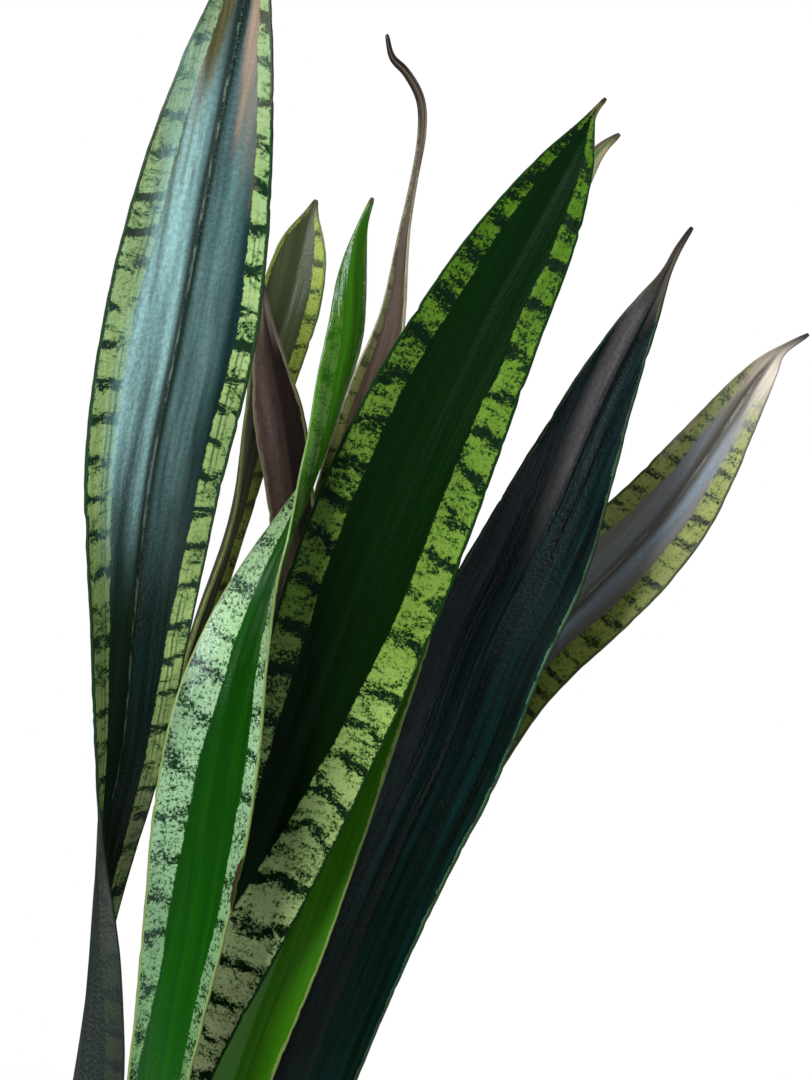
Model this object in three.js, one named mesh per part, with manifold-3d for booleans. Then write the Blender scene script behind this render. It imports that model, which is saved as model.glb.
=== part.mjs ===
// A potted snake plant: nine sword-shaped leaves standing in soil in a plain clay pot.
// Millimetres, +Z up. The origin is the centre of the pot's foot and +Y is the back of the plant.

import * as THREE from 'three';
import { mergeVertices } from 'three/addons/utils/BufferGeometryUtils.js';
import Module from 'manifold-3d';

const wasm = await Module();
wasm.setup();

// Pot
const potHeight = 150;
const rimRadius = 86;
const collarHeight = 36;
const collarStep = 5;
const collarEase = 1; // slope at the collar's lower edge
const rimWall = 6; // thickness at the rim
const footRadius = 57;
const potWall = 7;
const potFloor = 9;
const lipRadius = 2.5;
const footChamfer = 2;
const drainHoles = 3;
const drainHoleRadius = 5;
const drainCircleRadius = 28;
const drainHoleSides = 16;

// Soil
const soilBelowRim = 15;
const soilMound = 6;
const moundProfile = [[0.72, 0.55], [0.4, 0.9]]; // [share of the edge's radius, share of the mound's height]

// Leaves
const tallestRise = 580; // highest leaf tip above the edge of the soil
const widestReach = 202; // farthest leaf tip from the middle of the pot, to the right
const rootDepth = 25;
const rootWidthShare = 0.9; // width of the buried end, as a share of the width at the soil
const bladeThickness = 2.4; // at the middle of a grown blade
const baseThickness = 4.6; // at the middle of a leaf where it leaves the soil
const marginThickness = 1.1;
const thinnestTip = 0.8;
const widthToThickness = 6; // least width of a blade for each millimetre of thickness
const baseZone = 160; // height over which a leaf thins from its base to its blade

// Fits and facets
const clearance = 0.3; // between the soil and what it touches
const mergeDistance = 1e-4;
const potSides = 48;
const acrossPoints = 5; // points across each face of a leaf
const ringsPerStation = 3;

// One row is one station of a leaf, from the soil up to the tip:
// [right, back, up, width, turn, cup]
// right, back and up place the midrib, from the middle of the soil's edge. width is the blade's width
// measured round its channel. turn is where the inner face looks, in degrees: 0 to the front, 90 to
// the right. cup is half the angle of the arc that the blade bends round, in degrees.
const leaves = [
  {
    name: 'leaf_left',
    colour: 0x1d4a2c,
    stations: [
      [-42, -20, 0, 30, 150, 62],
      [-42, -25, 60, 36, 142, 62],
      [-43, -30, 121, 42, 124, 62],
      [-46, -35, 172, 39, 106, 60],
      [-49, -39, 217, 43, 79, 52],
      [-47, -43, 260, 42, 54, 30],
      [-50, -50, 312, 49, 42, 31],
      [-52, -58, 370, 55, 20, 28],
      [-49, -66, 420, 59, 8, 26],
      [-47, -74, 465, 54, 2, 27],
      [-45, -82, 510, 41, -2, 32],
      [-43, -88, 546, 24, -4, 40],
      [-43, -92, 566, 10, -4, 40],
      [-45, -95, 580, 1.6, -4, 20],
    ],
  },
  {
    name: 'leaf_front',
    colour: 0x1f6b2a,
    stations: [
      [-7, -33, 0, 23, -8, 58],
      [-9, -40, 60, 25, -10, 55],
      [-11, -44, 130, 27, -12, 48],
      [-10, -46, 190, 36, -15, 42],
      [-10, -47, 235, 43, -17, 38],
      [-10, -47, 273, 43, -22, 36],
      [-8, -46, 303, 39, -36, 34],
      [-3, -44, 333, 35, -58, 32],
      [4, -42, 362, 30, -80, 30],
      [9, -40, 388, 22, -105, 32],
      [11, -37, 411, 21, -124, 36],
      [12, -34, 434, 18, -142, 38],
      [10, -31, 456, 12, -155, 40],
      [10, -29, 474, 4, -160, 40],
      [12, -28, 486, 1.4, -160, 20],
    ],
  },
  {
    name: 'leaf_centre',
    colour: 0x16391f,
    stations: [
      [-15, -9, 0, 24, 6, 60],
      [-14, -11, 60, 27, 6, 52],
      [-8, -14, 125, 32, 5, 42],
      [6, -16, 185, 41, 4, 32],
      [18, -18, 242, 51, 3, 24],
      [28, -20, 295, 59, 2, 18],
      [37, -22, 345, 63, 0, 15],
      [48, -24, 397, 59, 0, 14],
      [62, -26, 448, 48, 0, 14],
      [74, -28, 483, 37, 0, 14],
      [83, -29, 510, 22, 0, 14],
      [87, -30, 524, 9, 0, 14],
      [89, -30, 531, 3, 0, 14],
      [93, -30, 538, 1.4, 0, 10],
    ],
  },
  {
    name: 'leaf_behind_centre',
    colour: 0x2a6a25,
    stations: [
      [8, 5, 0, 26, 4, 58],
      [10, 4, 60, 29, 4, 52],
      [16, 3, 121, 32, 3, 42],
      [26, 2, 176, 35, 2, 34],
      [35, 3, 235, 36, 0, 30],
      [44, 5, 300, 37, 0, 28],
      [54, 8, 365, 34, 0, 28],
      [66, 10, 425, 28, 0, 28],
      [80, 12, 475, 17, 0, 28],
      [90, 12, 506, 10, 0, 28],
      [96, 12, 519, 5, 0, 28],
      [103, 12, 527, 1.4, 0, 20],
    ],
  },
  {
    name: 'leaf_right',
    colour: 0x15281d,
    stations: [
      [34, 10, 0, 27, 0, 58],
      [38, 11, 60, 32, 0, 52],
      [47, 12, 121, 39, -2, 44],
      [58, 12, 179, 42, -4, 38],
      [69, 12, 228, 46, -6, 34],
      [80, 12, 270, 49, -8, 31],
      [88, 11, 315, 51, -9, 30],
      [99, 10, 353, 49, -10, 30],
      [108, 9, 392, 38, -10, 33],
      [116, 8, 428, 26, -10, 38],
      [124, 6, 456, 15, -10, 38],
      [130, 4, 475, 4.2, -10, 40],
      [133, 3, 486, 2.4, -10, 40],
      [137, 2, 496, 1.4, -10, 20],
    ],
  },
  {
    name: 'leaf_far_right',
    colour: 0x6a6d4c,
    stations: [
      [42, 27, 0, 25, -4, 58],
      [43, 28, 60, 29, -6, 52],
      [50, 30, 121, 33, -8, 44],
      [60, 32, 180, 37, -10, 38],
      [77, 36, 238, 39, -12, 32],
      [100, 43, 298, 40, -14, 28],
      [130, 52, 342, 45, -14, 26],
      [152, 60, 373, 41, -14, 26],
      [166, 68, 400, 32, -14, 28],
      [178, 74, 427, 20, -14, 30],
      [186, 78, 443, 11, -14, 34],
      [191, 80, 451, 4, -14, 34],
      [202, 84, 460, 1.4, -14, 20],
    ],
  },
  {
    name: 'leaf_back_whip',
    colour: 0x6b5446,
    stations: [
      [8, 34, 0, 22, 0, 58],
      [9, 35, 90, 23, 0, 52],
      [11, 36, 190, 25, 0, 46],
      [14, 37, 290, 26, -4, 42],
      [19, 39, 365, 25, -12, 40],
      [24, 42, 408, 22, -22, 42],
      [27, 45, 438, 14, -34, 46],
      [25, 50, 470, 6.5, -40, 50],
      [25, 54, 497, 3.6, -40, 50],
      [25, 56, 514, 4.4, -40, 50],
      [22, 57, 528, 4.2, -40, 50],
      [14, 58, 538, 3.4, -40, 50],
      [7, 59, 543, 2.6, -40, 50],
      [3, 60, 552, 1.4, -40, 20],
    ],
  },
  {
    name: 'leaf_back_left',
    colour: 0x3a4326,
    stations: [
      [-18, 26, 0, 22, 20, 58],
      [-20, 28, 80, 23, 34, 52],
      [-26, 32, 160, 24, 50, 46],
      [-34, 37, 235, 24, 64, 42],
      [-33, 42, 290, 24, 72, 40],
      [-25, 48, 340, 22, 78, 38],
      [-24, 55, 382, 28, 60, 36],
      [-21, 61, 412, 27, 36, 34],
      [-18, 67, 440, 27, 8, 32],
      [-17, 71, 460, 20, 0, 32],
      [-16, 74, 473, 6.5, 0, 32],
      [-15, 76, 480, 1.4, 0, 20],
    ],
  },
  {
    name: 'leaf_back_middle',
    colour: 0x3b2420,
    stations: [
      [12, 15, 0, 23, 2, 58],
      [13, 16, 90, 24, 2, 52],
      [13, 17, 190, 25, 0, 46],
      [11, 18, 280, 25, -4, 42],
      [7, 20, 330, 24, -10, 40],
      [-2, 23, 362, 21, -14, 40],
      [-11, 27, 390, 24, -16, 42],
      [-20, 31, 413, 15, -18, 44],
      [-26, 33, 432, 5.5, -18, 44],
      [-28, 35, 443, 1.4, -18, 20],
    ],
  },
];

const tallest = Math.max(...leaves.flatMap((leaf) => leaf.stations.map((row) => row[2])));
const widest = Math.max(...leaves.flatMap((leaf) => leaf.stations.map((row) => row[0])));
const upScale = tallestRise / tallest;
const outScale = widestReach / widest;
const soilHeight = potHeight - soilBelowRim;

// Radius of the pot's outer wall under the collar.
const bodyRadius = (z) => {
  const top = rimRadius - collarStep;
  return footRadius + ((top - footRadius) * z) / (potHeight - collarHeight);
};
// The cavity keeps one taper from the floor to the rim, a wall inside the body.
const cavityRadius = (z) => {
  const low = bodyRadius(potFloor) - potWall;
  const high = rimRadius - rimWall;
  return low + ((high - low) * (z - potFloor)) / (potHeight - potFloor);
};

// A solid of revolution round Z from a profile of [radius, height] points.
function turned(profile) {
  const points = profile.map(([radius, height]) => new THREE.Vector2(radius, height));
  return new THREE.LatheGeometry(points, potSides).rotateX(Math.PI / 2);
}

function toManifold(geometry) {
  const bare = geometry.clone();
  bare.deleteAttribute('normal');
  bare.deleteAttribute('uv');
  const merged = mergeVertices(bare, mergeDistance);
  return new wasm.Manifold(new wasm.Mesh({
    numProp: 3,
    vertProperties: new Float32Array(merged.attributes.position.array),
    triVerts: new Uint32Array(merged.index.array),
  }));
}

function toGeometry(solid) {
  const mesh = solid.getMesh();
  const geometry = new THREE.BufferGeometry();
  geometry.setAttribute('position', new THREE.BufferAttribute(new Float32Array(mesh.vertProperties), 3));
  geometry.setIndex(new THREE.BufferAttribute(new Uint32Array(mesh.triVerts), 1));
  geometry.computeVertexNormals();
  return geometry;
}

// The stations in their final size, with one more row below for the part in the soil.
function scaledStations(stations) {
  const rows = stations.map(([right, back, up, width, turn, cup]) => [
    right * outScale, back * outScale, up * upScale, width * outScale, turn, cup,
  ]);
  const [right, back, , width, turn, cup] = rows[0];
  return [[right, back, -rootDepth, width * rootWidthShare, turn, cup], ...rows];
}

// Points of one closed ring round a leaf: the inner face from left to right, then the outer face back.
// extra swells the ring on all sides, which makes the socket that a leaf stands in.
function leafRing(midrib, tangent, width, turn, cup, thickness, extra) {
  const turnAngle = THREE.MathUtils.degToRad(turn);
  const inward = new THREE.Vector3(Math.sin(turnAngle), -Math.cos(turnAngle), 0);
  inward.addScaledVector(tangent, -inward.dot(tangent)).normalize();
  const sideways = new THREE.Vector3().crossVectors(tangent, inward);
  const halfAngle = THREE.MathUtils.degToRad(cup);
  const radius = width / (2 * halfAngle);
  const reach = halfAngle + extra / radius;
  const inner = [];
  const outer = [];
  for (let i = 0; i < acrossPoints; i++) {
    const share = (2 * i) / (acrossPoints - 1) - 1;
    const angle = reach * share;
    const outward = sideways.clone().multiplyScalar(Math.sin(angle));
    outward.addScaledVector(inward, -Math.cos(angle));
    const centre = midrib.clone().addScaledVector(inward, radius);
    const depth = THREE.MathUtils.lerp(thickness, Math.min(marginThickness, thickness), share * share);
    inner.push(centre.clone().addScaledVector(outward, radius - extra));
    outer.push(centre.clone().addScaledVector(outward, radius + depth + extra));
  }
  return [...inner, ...outer.reverse()];
}

// A leaf as rings lofted along its midrib, closed at both ends.
function leafGeometry(stations, extra = 0, spans = stations.length - 1) {
  const path = new THREE.CatmullRomCurve3(
    stations.map(([right, back, up]) => new THREE.Vector3(right, back, up)), false, 'catmullrom');
  const shape = new THREE.CatmullRomCurve3(
    stations.map(([, , , width, turn, cup]) => new THREE.Vector3(width, turn, cup)), false, 'catmullrom');
  const positions = [];
  const rings = spans * ringsPerStation + 1;
  for (let i = 0; i < rings; i++) {
    const along = i / (ringsPerStation * (stations.length - 1));
    const midrib = path.getPoint(along);
    const tangent = path.getTangent(along);
    const { x: width, y: turn, z: cup } = shape.getPoint(along);
    const rise = THREE.MathUtils.smoothstep(midrib.z, 0, baseZone);
    const grown = THREE.MathUtils.lerp(baseThickness, bladeThickness, rise);
    const thickness = Math.min(grown, Math.max(width / widthToThickness, thinnestTip));
    if (i === 0) midrib.z -= extra;
    const ring = leafRing(midrib, tangent, width, turn, cup, thickness, extra);
    ring.forEach((point) => positions.push(point.x, point.y, point.z));
  }
  const around = 2 * acrossPoints;
  const index = [];
  const quad = (a, b, c, d) => index.push(a, b, c, a, c, d);
  for (let i = 0; i < rings - 1; i++) {
    for (let j = 0; j < around; j++) {
      const next = (j + 1) % around;
      quad(i * around + j, i * around + next, (i + 1) * around + next, (i + 1) * around + j);
    }
  }
  const last = (rings - 1) * around;
  for (let j = 0; j < acrossPoints - 1; j++) {
    const opposite = around - 1 - j;
    quad(j + 1, j, opposite, opposite - 1);
    quad(last + j, last + j + 1, last + opposite - 1, last + opposite);
  }
  const geometry = new THREE.BufferGeometry();
  geometry.setAttribute('position', new THREE.Float32BufferAttribute(positions, 3));
  geometry.setIndex(index);
  geometry.computeVertexNormals();
  return geometry;
}

function potGeometry() {
  const collarBottom = potHeight - collarHeight;
  const innerRim = cavityRadius(potHeight);
  const body = toManifold(turned([
    [0, 0],
    [footRadius - footChamfer, 0],
    [footRadius, footChamfer],
    [bodyRadius(collarBottom), collarBottom],
    [rimRadius - collarEase, collarBottom + collarEase],
    [rimRadius, potHeight - lipRadius],
    [rimRadius - lipRadius, potHeight],
    [innerRim, potHeight],
    [cavityRadius(potFloor), potFloor],
    [0, potFloor],
  ]));
  const cutterLength = 3 * potFloor; // passes both faces of the floor
  const holes = [];
  for (let i = 0; i < drainHoles; i++) {
    const angle = (2 * Math.PI * (i + 0.5)) / drainHoles;
    const hole = new THREE.CylinderGeometry(drainHoleRadius, drainHoleRadius, cutterLength, drainHoleSides);
    hole.rotateX(Math.PI / 2);
    hole.translate(drainCircleRadius * Math.cos(angle), drainCircleRadius * Math.sin(angle), potFloor / 2);
    holes.push(toManifold(hole));
  }
  return toGeometry(wasm.Manifold.difference([body, ...holes]));
}

// The soil fills the cavity up to its edge, mounds a little in the middle and stops clear of each leaf.
function soilGeometry() {
  const bottom = potFloor + clearance;
  const edge = cavityRadius(soilHeight) - clearance;
  const body = toManifold(turned([
    [0, bottom],
    [cavityRadius(bottom) - clearance, bottom],
    [edge, soilHeight],
    ...moundProfile.map(([outShare, upShare]) => [edge * outShare, soilHeight + soilMound * upShare]),
    [0, soilHeight + soilMound],
  ]));
  const sockets = leaves.map(({ stations }) => {
    const rows = scaledStations(stations);
    return toManifold(leafGeometry(rows, clearance, 2).translate(0, 0, soilHeight));
  });
  return toGeometry(wasm.Manifold.difference([body, ...sockets]));
}

function part(name, geometry, colour, roughness) {
  const material = new THREE.MeshStandardMaterial({ color: colour, roughness, metalness: 0 });
  const mesh = new THREE.Mesh(geometry, material);
  mesh.name = name;
  return mesh;
}

const group = new THREE.Group();
group.name = 'potted_snake_plant';
group.add(part('pot', potGeometry(), 0xb5653f, 0.85));
group.add(part('soil', soilGeometry(), 0x2c211a, 0.95));

const foliage = new THREE.Group();
foliage.position.z = soilHeight;
for (const { name, colour, stations } of leaves) {
  foliage.add(part(name, leafGeometry(scaledStations(stations)), colour, 0.35));
}
group.add(foliage);

export default group;
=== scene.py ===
import math
import random

import bmesh
import bpy
import numpy as np
from mathutils import Matrix, Vector, noise


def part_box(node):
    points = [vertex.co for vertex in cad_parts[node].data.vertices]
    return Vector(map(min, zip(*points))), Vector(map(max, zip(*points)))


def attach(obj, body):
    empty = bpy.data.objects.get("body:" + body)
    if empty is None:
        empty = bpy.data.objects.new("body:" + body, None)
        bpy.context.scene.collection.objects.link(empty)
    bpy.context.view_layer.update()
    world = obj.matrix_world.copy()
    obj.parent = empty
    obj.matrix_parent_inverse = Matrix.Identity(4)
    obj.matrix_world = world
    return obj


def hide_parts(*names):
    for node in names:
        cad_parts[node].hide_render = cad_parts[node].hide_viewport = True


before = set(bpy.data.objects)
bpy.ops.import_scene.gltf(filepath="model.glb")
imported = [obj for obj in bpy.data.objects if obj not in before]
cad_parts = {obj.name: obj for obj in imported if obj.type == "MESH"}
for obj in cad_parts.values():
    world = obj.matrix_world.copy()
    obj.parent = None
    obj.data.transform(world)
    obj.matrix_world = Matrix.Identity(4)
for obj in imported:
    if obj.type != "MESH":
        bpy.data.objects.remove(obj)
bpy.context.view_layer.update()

# A potted snake plant: nine sword leaves in potting mix in a clay pot.
# Metres, +Z up, the front of the plant looks along -Y.

scene = bpy.context.scene
bpy.ops.object.select_all(action="DESELECT")
print("frame loaded:", len(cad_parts), "nodes")


def linearColour(hexText):
    channels = [int(hexText[i:i + 2], 16) / 255 for i in (1, 3, 5)]
    curve = [c / 12.92 if c <= 0.04045 else ((c + 0.055) / 1.055) ** 2.4 for c in channels]
    return (*curve, 1)


# Adds one node. links gives each input, by name or number, a value, a socket, or a node whose first output
# it takes. By number, a MapRange takes its incoming range as 1 and 2, and its outgoing one as 3 and 4.
def addNode(tree, kind, links=None, **settings):
    node = tree.nodes.new("ShaderNode" + kind)
    for name, value in settings.items():
        setattr(node, name, value)
    for name, value in (links or {}).items():
        if isinstance(name, int):
            socket = node.inputs[name]
        else:
            socket = next(s for s in node.inputs if s.enabled and s.name == name)
        if isinstance(value, bpy.types.Node):
            value = next(s for s in value.outputs if s.enabled)
        if isinstance(value, bpy.types.NodeSocket):
            tree.links.new(value, socket)
        else:
            socket.default_value = value
    return node


# Nearly all of a noise lies in this range.
noiseRange = {1: 0.3, 2: 0.7}


def newMaterial(name):
    material = bpy.data.materials.new(name)
    material.use_nodes = True
    material.node_tree.nodes.clear()
    return material, material.node_tree


def selectOnly(piece):
    bpy.ops.object.select_all(action="DESELECT")
    piece.select_set(True)
    bpy.context.view_layer.objects.active = piece


def applyModifier(piece, kind, **settings):
    selectOnly(piece)
    modifier = piece.modifiers.new(kind.lower(), kind)
    for name, value in settings.items():
        setattr(modifier, name, value)
    bpy.ops.object.modifier_apply(modifier=modifier.name)


def objectFrom(name, points, faces, edges=()):
    mesh = bpy.data.meshes.new(name)
    mesh.from_pydata(points, edges, faces)
    mesh.update()
    piece = bpy.data.objects.new(name, mesh)
    scene.collection.objects.link(piece)
    return piece


bladeShape = {
    "ringPoints": 10,        # five across each face
    "mergeWithin": 1e-5,
    "leastHalfWidth": 1e-4,
    "fullHalfWidth": 0.012,  # at which the relief below has its full depth
    "tipCalm": 0.03,         # length of tip over which it dies out
    "edgeCrease": 0.45,      # leaves the thin margin a little round
    "levels": 3,
    "seedFrom": 10,
    "grooveDepth": 0.0008,   # along the middle of the inner face
    "grooveWidth": 0.0019,
    "keelHeight": 0.0005,    # under the groove, on the outer face
    "ridgeHeight": 0.00008,  # faint lengthwise ribs
    "ridgeSpacing": 0.0062,
    "fineRidge": (0.6, 0.57),  # ribs between them: shares of the height and of the spacing
    "rippleHeight": 0.0003,  # slow waves that grow towards the margin
    "rippleLengths": (0.02, 0.09),
    "ripplePower": 3,        # how steeply they grow
    "outlineWave": 0.00018,  # how far the margin wanders in and out
    "outlineLengths": (0.007, 0.05),
    "outlinePower": 5,
    "nicks": 14,
    "nickPlaces": (0.2, 0.95),       # shares of the length
    "nickSpread": (0.0009, 0.0022),
    "nickDepth": 0.0006,
    "shallowNick": 0.4,      # the shallowest, as a share of that depth
}


# The CAD leaf is a stack of ten-point rings. This finds them again, lowest first: five points across the
# inner face from its left margin to its right, then five back across the outer face.
def leafRings(node):
    bm = bmesh.new()
    bm.from_mesh(node.data)
    bmesh.ops.remove_doubles(bm, verts=bm.verts, dist=bladeShape["mergeWithin"])
    around = bladeShape["ringPoints"]
    half = around // 2
    layer = sorted(bm.verts, key=lambda v: v.co.z)[:around]
    layers = []
    seen = set()
    while layer:
        layers.append(set(layer))
        seen |= layers[-1]
        layer = [w for v in layer for w in (e.other_vert(v) for e in v.link_edges) if w not in seen]
        layer = list(dict.fromkeys(layer))
    if any(len(found) != around for found in layers):
        raise RuntimeError(node.name + " has a ring with the wrong number of points")

    def neighbours(vert, level):
        return {e.other_vert(vert) for e in vert.link_edges} & layers[level]

    ring = [min(layers[1], key=lambda v: (v.co.x, v.co.y))]
    ring.append(min(neighbours(ring[0], 1), key=lambda v: (v.co.x, v.co.y)))
    while len(ring) < around:
        ring.append(next(v for v in neighbours(ring[-1], 1) if v is not ring[-2]))
    area = sum(a.co.x * b.co.y - b.co.x * a.co.y for a, b in zip(ring, ring[1:] + ring[:1]))
    if area < 0:
        ring.reverse()
    step = [(ring[(j + 1) % around].co - ring[j].co).length for j in range(around)]
    narrow = min(range(around), key=lambda j: step[j] + step[(j + half) % around])
    starts = [(narrow + 1) % around, (narrow + half + 1) % around]
    start = min(starts, key=lambda s: sum(step[(s + j) % around] for j in range(half - 1)))
    ring = ring[start:] + ring[:start]

    below = [None] * around
    for j in range(around):
        below[j] = (neighbours(ring[j], 0) & neighbours(ring[(j + 1) % around], 0)).pop()
    rings = [below, ring]
    for level in range(2, len(layers)):
        last = rings[-1]
        rings.append([(neighbours(last[j - 1], level) & neighbours(last[j], level)).pop()
                      for j in range(around)])
    points = [[v.co.copy() for v in found] for found in rings]
    bm.free()
    return points


# A blade in quads, with where each point lies on it: blade holds metres across from the midrib, metres
# along from the buried end, and half the blade's width there.
def leafBlade(name, node, seed):
    rings = leafRings(node)
    around = len(rings[0])
    half = around // 2
    points = [p for ring in rings for p in ring]
    faces = []
    for i in range(len(rings) - 1):
        for j in range(around):
            k = (j + 1) % around
            faces.append((i * around + j, i * around + k, (i + 1) * around + k, (i + 1) * around + j))
    top = (len(rings) - 1) * around
    for j in range(half - 1):
        k = around - 1 - j
        faces.append((j + 1, j, k, k - 1))
        faces.append((top + j, top + j + 1, top + k - 1, top + k))

    place, side, inward, sideways = [], [], [], []
    along = 0
    for i, ring in enumerate(rings):
        if i:
            along += (ring[half // 2] - rings[i - 1][half // 2]).length
        reach = [0]
        for a, b in zip(ring[:half], ring[1:half]):
            reach.append(reach[-1] + (b - a).length)
        middle = reach[half // 2]
        across = (ring[half - 1] - ring[0]).normalized()
        for j in range(around):
            k = min(j, around - 1 - j)
            place.append((reach[k] - middle, along, reach[-1] / 2))
            side.append(1.0 if j < half else 0.0)
            inward.append((ring[k] - ring[around - 1 - k]).normalized())
            sideways.append(across)

    piece = objectFrom(name, points, faces)
    mesh = piece.data
    for key, kind, values in (("blade", "FLOAT_VECTOR", place), ("inner", "FLOAT", side),
                              ("inward", "FLOAT_VECTOR", inward), ("sideways", "FLOAT_VECTOR", sideways)):
        field = "value" if kind == "FLOAT" else "vector"
        mesh.attributes.new(key, kind, "POINT").data.foreach_set(field, np.ravel(values))
    crease = mesh.attributes.new("crease_edge", "FLOAT", "EDGE").data
    margins = {0, half - 1, half, around - 1}
    for edge in mesh.edges:
        a, b = edge.vertices
        if a % around == b % around and a % around in margins:
            crease[edge.index].value = bladeShape["edgeCrease"]

    applyModifier(piece, "SUBSURF", levels=bladeShape["levels"], render_levels=bladeShape["levels"])
    shapeBlade(piece, along, seed)
    selectOnly(piece)
    bpy.ops.object.shade_smooth()
    return piece, along


def readAttribute(mesh, key, width):
    values = np.empty(len(mesh.vertices) * width)
    mesh.attributes[key].data.foreach_get("value" if width == 1 else "vector", values)
    return values.reshape(-1, width)


# Waves of mixed lengths along a blade, from -1 to 1, that never quite repeat.
def waves(along, shortest, longest, dice):
    total = np.zeros_like(along)
    count = 5
    for i in range(count):
        length = shortest * (longest / shortest) ** (i / (count - 1))
        total += np.sin(2 * math.pi * along / length + dice.uniform(0, 2 * math.pi))
    return total / count


# Groove, keel, ribs, rippled margins and small nicks.
def shapeBlade(piece, length, seed):
    mesh = piece.data
    dice = random.Random(seed)
    shape = bladeShape
    place = readAttribute(mesh, "blade", 3)
    across, along, halfWidth = place.T
    inner = readAttribute(mesh, "inner", 1)[:, 0]
    inward = readAttribute(mesh, "inward", 3)
    sideways = readAttribute(mesh, "sideways", 3)
    share = np.clip(np.abs(across) / np.maximum(halfWidth, shape["leastHalfWidth"]), 0, 1)
    grown = np.clip(halfWidth / shape["fullHalfWidth"], 0, 1)
    grown = grown * np.clip((length - along) / shape["tipCalm"], 0, 1)

    groove = np.exp(-(across / shape["grooveWidth"]) ** 2)
    depth = inner * shape["grooveDepth"] + (1 - inner) * shape["keelHeight"]
    lift = -groove * depth * grown
    ribs = np.sin(2 * math.pi * across / shape["ridgeSpacing"] + dice.uniform(0, 6))
    fineHeight, fineSpacing = shape["fineRidge"]
    fineTurns = 2 * math.pi * across / (shape["ridgeSpacing"] * fineSpacing)
    ribs += fineHeight * np.sin(fineTurns + dice.uniform(0, 6))
    lift += shape["ridgeHeight"] * ribs * grown * (1 - groove)
    side = np.sign(across)
    leftWaves = waves(along, *shape["rippleLengths"], dice)
    rightWaves = waves(along, *shape["rippleLengths"], dice)
    ripple = shape["rippleHeight"] * np.where(side < 0, leftWaves, rightWaves)
    lift += ripple * share ** shape["ripplePower"] * grown

    leftOut = waves(along, *shape["outlineLengths"], dice)
    rightOut = waves(along, *shape["outlineLengths"], dice)
    outline = shape["outlineWave"] * np.where(side < 0, leftOut, rightOut)
    for _ in range(shape["nicks"]):
        centre = dice.uniform(*shape["nickPlaces"]) * length
        spread = dice.uniform(*shape["nickSpread"])
        nick = np.exp(-((along - centre) / spread) ** 2) * (side == dice.choice((-1, 1)))
        outline -= nick * shape["nickDepth"] * dice.uniform(shape["shallowNick"], 1)
    push = (outline - shape["outlineWave"]) * side * share ** shape["outlinePower"] * grown

    points = np.empty(len(mesh.vertices) * 3)
    mesh.vertices.foreach_get("co", points)
    points = points.reshape(-1, 3) + inward * lift[:, None] + sideways * push[:, None]
    mesh.vertices.foreach_set("co", points.ravel())
    mesh.update()


# Sizes of the pattern in millimetres across and along the blade, then detail, roughness and distortion.
bladeGrain = {
    "wander": (300, 60, 3, 0.6, 0.0),     # the inner edge of a band drifting
    "jag": (4, 2.2, 5, 0.8, 0.4),         # its fine teeth
    "bars": (16, 7, 8, 0.8, 0.8),         # dark cross-bars
    "blots": (6, 3.6, 6, 0.85, 1.0),      # ragged blots between the bars
    "flecks": (1.3, 1.5, 4, 0.85, 0.0),   # granular flecks
    "streaks": (3.2, 120, 4, 0.6, 0.0),   # lengthwise streaks
    "bloomAndSheen": (9, 130, 6, 0.6, 0.0),       # worn wax with painted sheen; also rags the dried tip
    "clouds": (30, 70, 3, 0.5, 0.0),
    "dashes": (0.8, 9, 3, 0.7, 0.0),      # broken pale line in the groove
    "fibres": (1.3, 45, 2, 0.6, 0.0),     # striation, drawn coarse enough to show
    "pores": (1.5, 1.9, 3, 0.6, 0.0),     # the leathery skin
}

# Where along a blade, as shares of its length, the low, middle and high values of a look hold.
widthStages = (0.28, 0.6, 0.92)
toneStages = (0.25, 0.6, 0.92)
capStages = (0.6, 0.8)

barPattern = {
    "cloudWarp": 12.0, "blotWarp": 6.0,   # how far the noises bend the bars, in radians of their spacing
    "rightShift": 2.4,                    # so that the two bands don't match
    "peak": 0.16,                         # how far a regular bar stands out of the noise
    "blotShare": 0.11, "fleckShare": 0.15, "granuleShare": 0.6,
    "amountGain": 0.2,                    # of barAmount, either way from a half
    "darkFrom": 0.625, "darkTo": 0.655,
    "nearFrom": 0.52, "nearTo": 0.64, "nearShare": 0.8,   # the darker ground beside a bar
    "innerLines": ((2.6, 0.85), (4.6, 0.55)),             # millimetres into the band, strength
    "toothDepth": 0.5,                                    # millimetres
}

# Where in its noise a marking starts and ends, and what it is there.
noiseCuts = {
    "streaks": {1: 0.42, 2: 0.72},
    "specks": {1: 0.72, 2: 0.78, 3: 0.0, 4: 0.35},
    "paleTone": {**noiseRange, 3: 0.72, 4: 1.3},
    "granules": {1: 0.5, 2: 0.68},
    "brokenLine": {1: 0.42, 2: 0.55},
    "marginTeeth": {1: 0.35, 2: 0.65, 3: 0.2},
    "wornWaxAndSheen": {1: 0.36, 2: 0.62, 3: 0.15, 4: 1.0},
    "wrinkles": {1: 0.38, 2: 0.62, 3: 0.72, 4: 1.0},
    "dashes": {1: 0.48, 2: 0.56},
    "backTone": {1: 0.35, 2: 0.7, 3: 0.6, 4: 1.7},
    "tipStreaks": {1: 0.4, 2: 0.6},
}
# Steps between the leaves, across and along, and between the patterns, so that no two use the same noise.
noiseSteps = (3.1, 5.7, 9.3)

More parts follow.
